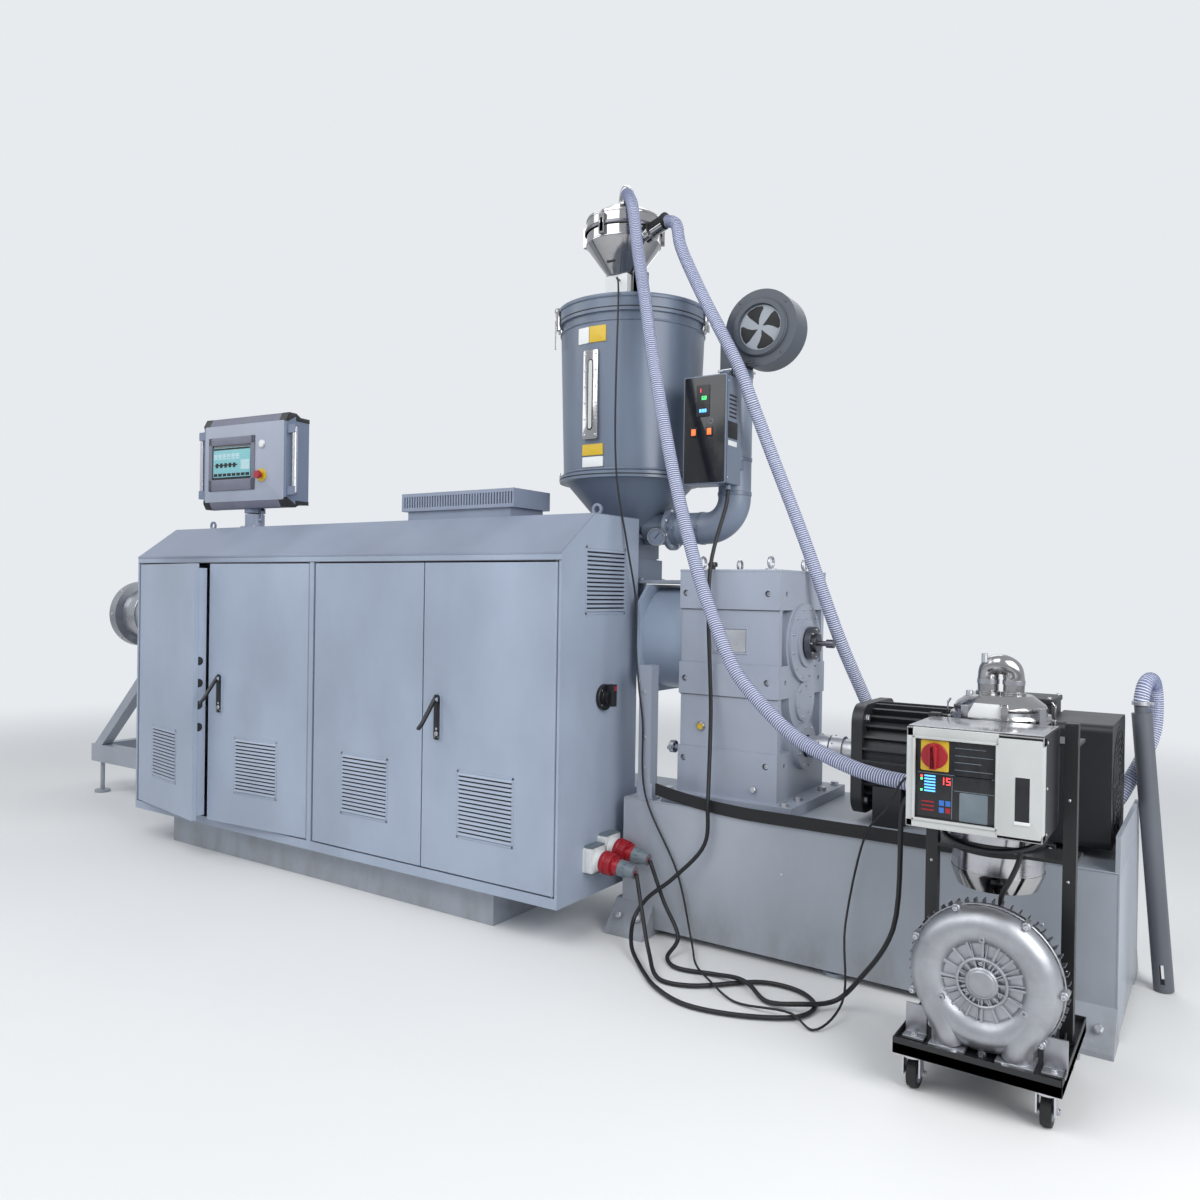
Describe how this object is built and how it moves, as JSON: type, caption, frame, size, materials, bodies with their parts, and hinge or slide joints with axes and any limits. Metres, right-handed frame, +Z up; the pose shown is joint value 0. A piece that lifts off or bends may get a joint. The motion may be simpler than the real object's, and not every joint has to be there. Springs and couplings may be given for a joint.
{
  "type": "plastic extruder",
  "caption": "Single-screw plastic extruder with electrical cabinet, gearbox and motor base, hopper dryer with vacuum loader, pipe die on its stand and a suction unit on castors",
  "frame": {"origin": "On the floor, on the underside of the cabinet plinth, at the middle of the machine length between the die stand and the right end of the drive base", "axes": "+X from the die to the motor along the screw, +Y from the cabinet doors to the back, +Z up"},
  "size_m": [5.4489, 1.249, 2.8139],
  "materials": {
    "cabinet_white": "satin",
    "roof_grey_blue": "satin",
    "machine_white": "satin",
    "panel_grey": "satin",
    "black_paint": "satin",
    "black_plastic": "matte",
    "bare_steel": "brushed",
    "dryer_paint": "satin",
    "stainless": "polished",
    "duct_white": "satin",
    "blower_grey": "satin",
    "cast_aluminium": "cast",
    "box_grey": "satin",
    "black_rubber": "matte",
    "signal_red": "gloss",
    "clear_hose": "clear",
    "lance_grey": "satin"
  },
  "bodies": {
    "machine": {"cabinet_plinth": "cabinet_white", "cabinet_shell": "cabinet_white", "cabinet_roof": "roof_grey_blue", "roof_vent": "roof_grey_blue", "end_fittings": "black_plastic", "hmi_pole": "panel_grey", "drive_base": "machine_white", "barrel_frame": "machine_white", "gearbox_housing": "machine_white", "gearbox_covers": "machine_white", "main_motor": "black_paint", "thrust_drum": "machine_white", "riser_post": "machine_white", "barrel": "bare_steel", "barrel_heaters": "bare_steel", "feed_throat": "bare_steel", "die_head": "bare_steel", "die_stand": "machine_white", "dryer_cone": "dryer_paint", "dryer_barrel": "dryer_paint", "dryer_lid": "dryer_paint", "sight_glass": "stainless", "dryer_duct": "duct_white", "dryer_blower": "blower_grey", "dryer_control_box": "dryer_paint", "hopper_loader": "stainless", "trolley_frame": "black_paint", "ring_blower": "cast_aluminium", "dust_canister": "stainless", "loader_control_box": "box_grey", "edge_strip": "black_rubber", "vacuum_hose": "clear_hose", "material_hose": "clear_hose", "dryer_cable": "black_rubber", "loader_cable": "black_rubber", "signal_cable": "black_rubber", "dryer_plug": "signal_red", "loader_plug": "signal_red", "suction_lance": "lance_grey"},
    "door_1": {"door_1": "cabinet_white"},
    "door_2": {"door_2": "cabinet_white"},
    "door_3": {"door_3": "cabinet_white"},
    "door_4": {"door_4": "cabinet_white"},
    "lever_2": {"lever_2": "black_plastic"},
    "lever_4": {"lever_4": "black_plastic"},
    "isolator_handle": {"isolator_handle": "black_plastic"},
    "hmi_box": {"hmi_box": "panel_grey"},
    "stop_button": {"stop_button": "signal_red"},
    "drive_coupling": {"drive_coupling": "bare_steel"},
    "screw_tail": {"screw_tail": "bare_steel"},
    "loader_switch": {"loader_switch": "signal_red"},
    "castor_fork_1": {"castor_fork_1": "bare_steel"},
    "castor_fork_2": {"castor_fork_2": "bare_steel"},
    "castor_fork_3": {"castor_fork_3": "bare_steel"},
    "castor_fork_4": {"castor_fork_4": "bare_steel"},
    "castor_wheel_1": {"castor_wheel_1": "black_rubber"},
    "castor_wheel_2": {"castor_wheel_2": "black_rubber"},
    "castor_wheel_3": {"castor_wheel_3": "black_rubber"},
    "castor_wheel_4": {"castor_wheel_4": "black_rubber"}
  },
  "joints": [
    {"name": "door_1_hinge", "type": "hinge", "parent": "machine", "child": "door_1", "pos_m": [-1.463, -0.38, 0.74], "axis": [0, 0, 1], "range_deg": [-85, 10]},
    {"name": "door_2_hinge", "type": "hinge", "parent": "machine", "child": "door_2", "pos_m": [-0.2545, -0.38, 0.74], "axis": [0, 0, 1], "range_deg": [-4, 81]},
    {"name": "door_3_hinge", "type": "hinge", "parent": "machine", "child": "door_3", "pos_m": [-0.1985, -0.38, 0.74], "axis": [0, 0, 1], "range_deg": [-85, 0]},
    {"name": "door_4_hinge", "type": "hinge", "parent": "machine", "child": "door_4", "pos_m": [1.01, -0.38, 0.74], "axis": [0, 0, 1], "range_deg": [0, 95]},
    {"name": "lever_2_pivot", "type": "hinge", "parent": "door_2", "child": "lever_2", "pos_m": [-0.77652, -0.44457, 0.811], "axis": [0.9976, 0.0698, 0], "range_deg": [-5, 38]},
    {"name": "lever_4_pivot", "type": "hinge", "parent": "door_4", "child": "lever_4", "pos_m": [0.48475, -0.408, 0.811], "axis": [1, 0, 0], "range_deg": [-5, 38]},
    {"name": "isolator_turn", "type": "hinge", "parent": "machine", "child": "isolator_handle", "pos_m": [1.07, -0.127, 0.837], "axis": [1, 0, 0], "range_deg": [0, 90]},
    {"name": "hmi_swivel", "type": "hinge", "parent": "machine", "child": "hmi_box", "pos_m": [-1.034, -0.072, 1.58], "axis": [0, 0, 1], "range_deg": [-60, 60]},
    {"name": "stop_press", "type": "slide", "parent": "hmi_box", "child": "stop_button", "axis": [-0.0872, 0.9962, 0], "range_m": [0, 0.004]},
    {"name": "drive_turn", "type": "hinge", "parent": "machine", "child": "drive_coupling", "pos_m": [1.76, 0.234, 0.681], "axis": [1, 0, 0], "continuous": true},
    {"name": "screw_turn", "type": "hinge", "parent": "machine", "child": "screw_tail", "pos_m": [1.69, 0.234, 1.045], "axis": [1, 0, 0], "continuous": true},
    {"name": "loader_switch_turn", "type": "hinge", "parent": "machine", "child": "loader_switch", "pos_m": [2.321, -0.628, 0.831], "axis": [0, 1, 0], "range_deg": [0, 90]},
    {"name": "castor_swivel_1", "type": "hinge", "parent": "machine", "child": "castor_fork_1", "pos_m": [2.274, -0.59, 0.095], "axis": [0, 0, 1], "continuous": true},
    {"name": "castor_roll_1", "type": "hinge", "parent": "castor_fork_1", "child": "castor_wheel_1", "pos_m": [2.274, -0.57, 0.037], "axis": [1, 0, 0], "continuous": true},
    {"name": "castor_swivel_2", "type": "hinge", "parent": "machine", "child": "castor_fork_2", "pos_m": [2.576, -0.59, 0.095], "axis": [0, 0, 1], "continuous": true},
    {"name": "castor_roll_2", "type": "hinge", "parent": "castor_fork_2", "child": "castor_wheel_2", "pos_m": [2.576, -0.57, 0.037], "axis": [1, 0, 0], "continuous": true},
    {"name": "castor_swivel_3", "type": "hinge", "parent": "machine", "child": "castor_fork_3", "pos_m": [2.274, -0.27, 0.095], "axis": [0, 0, 1], "continuous": true},
    {"name": "castor_roll_3", "type": "hinge", "parent": "castor_fork_3", "child": "castor_wheel_3", "pos_m": [2.274, -0.25, 0.037], "axis": [1, 0, 0], "continuous": true},
    {"name": "castor_swivel_4", "type": "hinge", "parent": "machine", "child": "castor_fork_4", "pos_m": [2.576, -0.27, 0.095], "axis": [0, 0, 1], "continuous": true},
    {"name": "castor_roll_4", "type": "hinge", "parent": "castor_fork_4", "child": "castor_wheel_4", "pos_m": [2.576, -0.25, 0.037], "axis": [1, 0, 0], "continuous": true}
  ],
  "couplings": [
    {"joint": "screw_turn", "follows": "drive_turn", "ratio": 0.0625}
  ]
}
